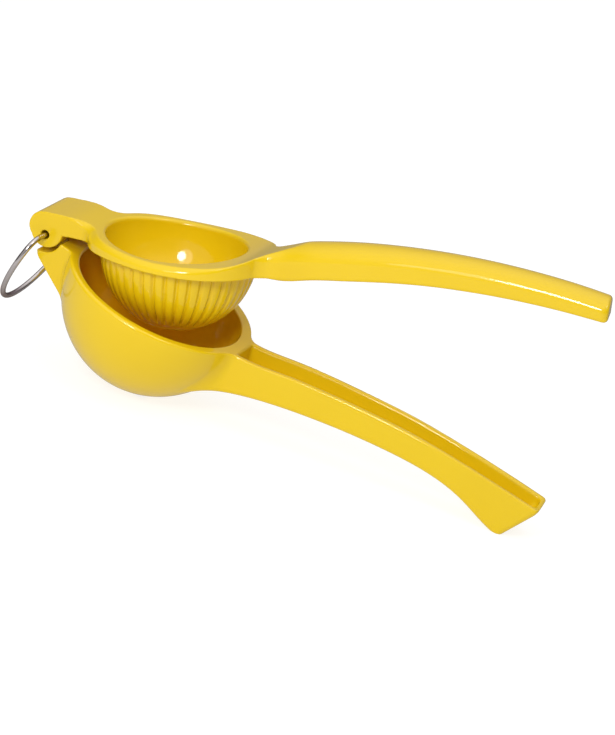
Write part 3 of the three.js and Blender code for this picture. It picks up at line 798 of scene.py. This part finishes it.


# Glossy enamel: an even colour with a slight drift, painted a deeper orange as shade where the shade
# attribute says, under a clear coat with a faint orange peel
def enamelMaterial():
    material, nodes, links = newMaterial("yellow_enamel")
    shader = nodes["Principled BSDF"]
    place = nodes.new("ShaderNodeTexCoord")
    drift = nodes.new("ShaderNodeTexNoise")
    drift.inputs["Scale"].default_value = enamel["driftSize"]
    drift.inputs["Detail"].default_value = 3.0
    links.new(place.outputs["Object"], drift.inputs["Vector"])
    mix = nodes.new("ShaderNodeMix")
    mix.data_type = "RGBA"
    mix.inputs["A"].default_value = (*enamel["colour"], 1.0)
    mix.inputs["B"].default_value = (*enamel["drift"], 1.0)
    links.new(drift.outputs["Fac"], mix.inputs["Factor"])
    # painted shade: the colour turns a deeper orange as the attribute says
    painted_shade = nodes.new("ShaderNodeAttribute")
    painted_shade.attribute_name = "painted_shade"
    shadeMix = nodes.new("ShaderNodeMix")
    shadeMix.data_type = "RGBA"
    links.new(painted_shade.outputs["Fac"], shadeMix.inputs["Factor"])
    links.new(mix.outputs["Result"], shadeMix.inputs["A"])
    shadeMix.inputs["B"].default_value = (*enamel["paintedShadeColour"], 1.0)
    links.new(shadeMix.outputs["Result"], shader.inputs["Base Color"])
    peel = nodes.new("ShaderNodeTexNoise")
    peel.inputs["Scale"].default_value = enamel["peelSize"]
    peel.inputs["Detail"].default_value = 2.0
    links.new(place.outputs["Object"], peel.inputs["Vector"])
    bump = nodes.new("ShaderNodeBump")
    bump.inputs["Strength"].default_value = enamel["peel"]
    bump.inputs["Distance"].default_value = enamel["peelDepth"]
    links.new(peel.outputs["Fac"], bump.inputs["Height"])
    links.new(bump.outputs["Normal"], shader.inputs["Normal"])
    links.new(bump.outputs["Normal"], shader.inputs["Coat Normal"])
    shader.inputs["Roughness"].default_value = enamel["roughness"]
    shader.inputs["Specular IOR Level"].default_value = enamel["gloss"]
    shader.inputs["Coat Weight"].default_value = enamel["coat"]
    shader.inputs["Coat Roughness"].default_value = enamel["coatRoughness"]
    return material


wireFinish = {
    "colour": (0.6, 0.55, 0.54),
    "edge": (0.4, 0.34, 0.32),      # seen from aside
    "roughness": 0.14,
    "drawSize": 1800.0,
    "draw": 0.05,
    "drawDepth": 0.0002,    # metres
}


# Bright drawn wire with a fine grain, darker seen from aside
def wireMaterial():
    material, nodes, links = newMaterial("bright_wire")
    shader = nodes["Principled BSDF"]
    place = nodes.new("ShaderNodeTexCoord")
    noise = nodes.new("ShaderNodeTexNoise")
    noise.inputs["Scale"].default_value = wireFinish["drawSize"]
    noise.inputs["Detail"].default_value = 2.0
    links.new(place.outputs["Object"], noise.inputs["Vector"])
    bump = nodes.new("ShaderNodeBump")
    bump.inputs["Strength"].default_value = wireFinish["draw"]
    bump.inputs["Distance"].default_value = wireFinish["drawDepth"]
    links.new(noise.outputs["Fac"], bump.inputs["Height"])
    links.new(bump.outputs["Normal"], shader.inputs["Normal"])
    shader.inputs["Base Color"].default_value = (*wireFinish["colour"], 1.0)
    shader.inputs["Specular Tint"].default_value = (*wireFinish["edge"], 1.0)
    shader.inputs["Metallic"].default_value = 1.0
    shader.inputs["Roughness"].default_value = wireFinish["roughness"]
    return material


# White and dull, with a glow of its own that reflections see fade along +Y
def floorMaterial():
    material, nodes, links = newMaterial("floor")
    shader = nodes["Principled BSDF"]
    place = nodes.new("ShaderNodeTexCoord")
    parts = nodes.new("ShaderNodeSeparateXYZ")
    links.new(place.outputs["Object"], parts.inputs["Vector"])
    gloss = studio["glossGlow"]
    ends = (gloss["from"], gloss["to"])
    dim = stepNode(nodes, links, parts.outputs["Y"], ends, (gloss["front"], gloss["behind"]))
    path = nodes.new("ShaderNodeLightPath")
    mix = nodes.new("ShaderNodeMix")
    links.new(path.outputs["Is Glossy Ray"], mix.inputs["Factor"])
    mix.inputs["A"].default_value = studio["floorGlow"]
    links.new(dim, mix.inputs["B"])
    shader.inputs["Base Color"].default_value = (*studio["floor"], 1.0)
    shader.inputs["Roughness"].default_value = studio["floorRoughness"]
    shader.inputs["Specular IOR Level"].default_value = 0.0
    shader.inputs["Emission Color"].default_value = (1.0, 1.0, 1.0, 1.0)
    links.new(mix.outputs["Result"], shader.inputs["Emission Strength"])
    return material


# Making

addCamera()
addSky()
addLamps()
print("camera and studio ready")

yellow = enamelMaterial()

# Millimetres in each arm's own frame
castings = {
    "upper_casting": {
        "field": upperField, "painted_shade": upperPaintedShade, "node": "upper_arm", "turn": upperTurn,
        "low": (-7.6, -31.9, -28.1), "high": (210.6, 32.3, 23.6),
        "cell": 0.53, "handleCell": 1.2, "headEnd": 98.0, "tailFrom": 204.0,
    },
    "lower_casting": {
        "field": lowerField, "painted_shade": lowerPaintedShade, "node": "lower_arm", "turn": lowerTurn,
        "low": (-5.9, -36.7, -38.2), "high": (205.1, 37.1, 13.4),
        "cell": 0.58, "handleCell": 1.2, "headEnd": 92.0, "tailFrom": 193.0,
    },
}
for name, casting in castings.items():
    piece = addCasting(name, casting, yellow)
    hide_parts(casting["node"])
    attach(piece, casting["node"])

points, faces = ringSurface()
turn = math.radians(stance["ringSwing"])
mesh = bpy.data.meshes.new("wire_ring")
mesh.from_pydata(placeArm(points, turn).tolist(), [], faces)
mesh.shade_smooth()
mesh.materials.append(wireMaterial())
wireRing = bpy.data.objects.new("wire_ring", mesh)
bpy.context.scene.collection.objects.link(wireRing)
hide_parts("hinge_ring")
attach(wireRing, "hinge_ring")
print("ring made")

bpy.ops.mesh.primitive_plane_add(size=studio["floorReach"])
floor = bpy.context.object
floor.name = "floor"
floor.data.materials.append(floorMaterial())
